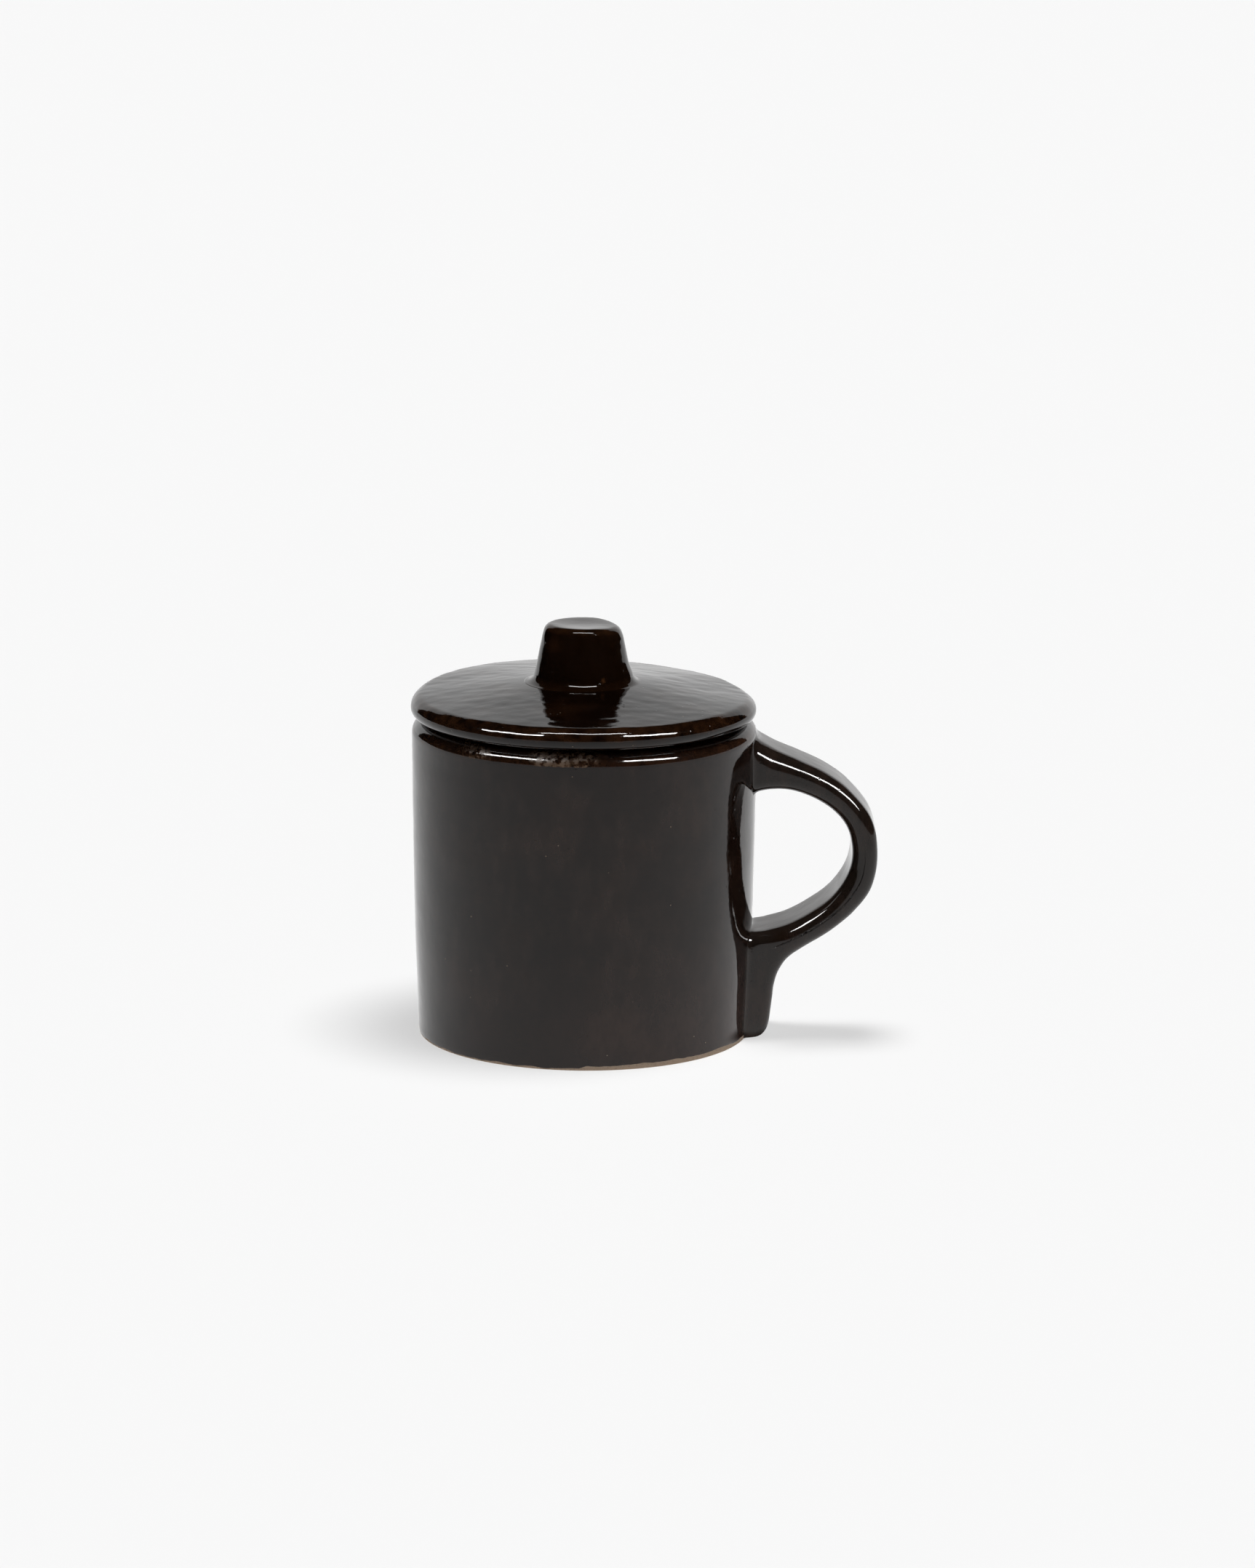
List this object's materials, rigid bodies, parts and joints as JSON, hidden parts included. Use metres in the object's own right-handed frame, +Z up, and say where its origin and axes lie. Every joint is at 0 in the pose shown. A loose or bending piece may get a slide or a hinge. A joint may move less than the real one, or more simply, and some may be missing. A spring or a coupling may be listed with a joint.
{
  "type": "lidded sugar bowl",
  "caption": "Straight-sided glazed stoneware sugar bowl with one strap handle and a loose flat lid that lifts off by its tapered knob.",
  "frame": {"origin": "middle of the flat unglazed foot, on the surface that the bowl stands on", "axes": "+Z up along the bowl's axis, +X from the axis towards the handle, +Y away from a viewer who has the handle on the right"},
  "size_m": [0.1157, 0.0856, 0.1031],
  "materials": {
    "glaze": "glossy dark brown, nearly black glaze that breaks to brown and tan on edges",
    "ring_glaze": "thin brown glaze"
  },
  "bodies": {
    "pot": {"bowl_body": "glaze", "strap_handle": "glaze"},
    "lid": {"lid_plate": "glaze", "lid_locating_ring": "ring_glaze", "lid_knob": "glaze"}
  },
  "joints": [
    {"name": "lid_lift", "type": "slide", "parent": "pot", "child": "lid", "axis": [0, 0, 1], "range_m": [0, 0.08]}
  ]
}
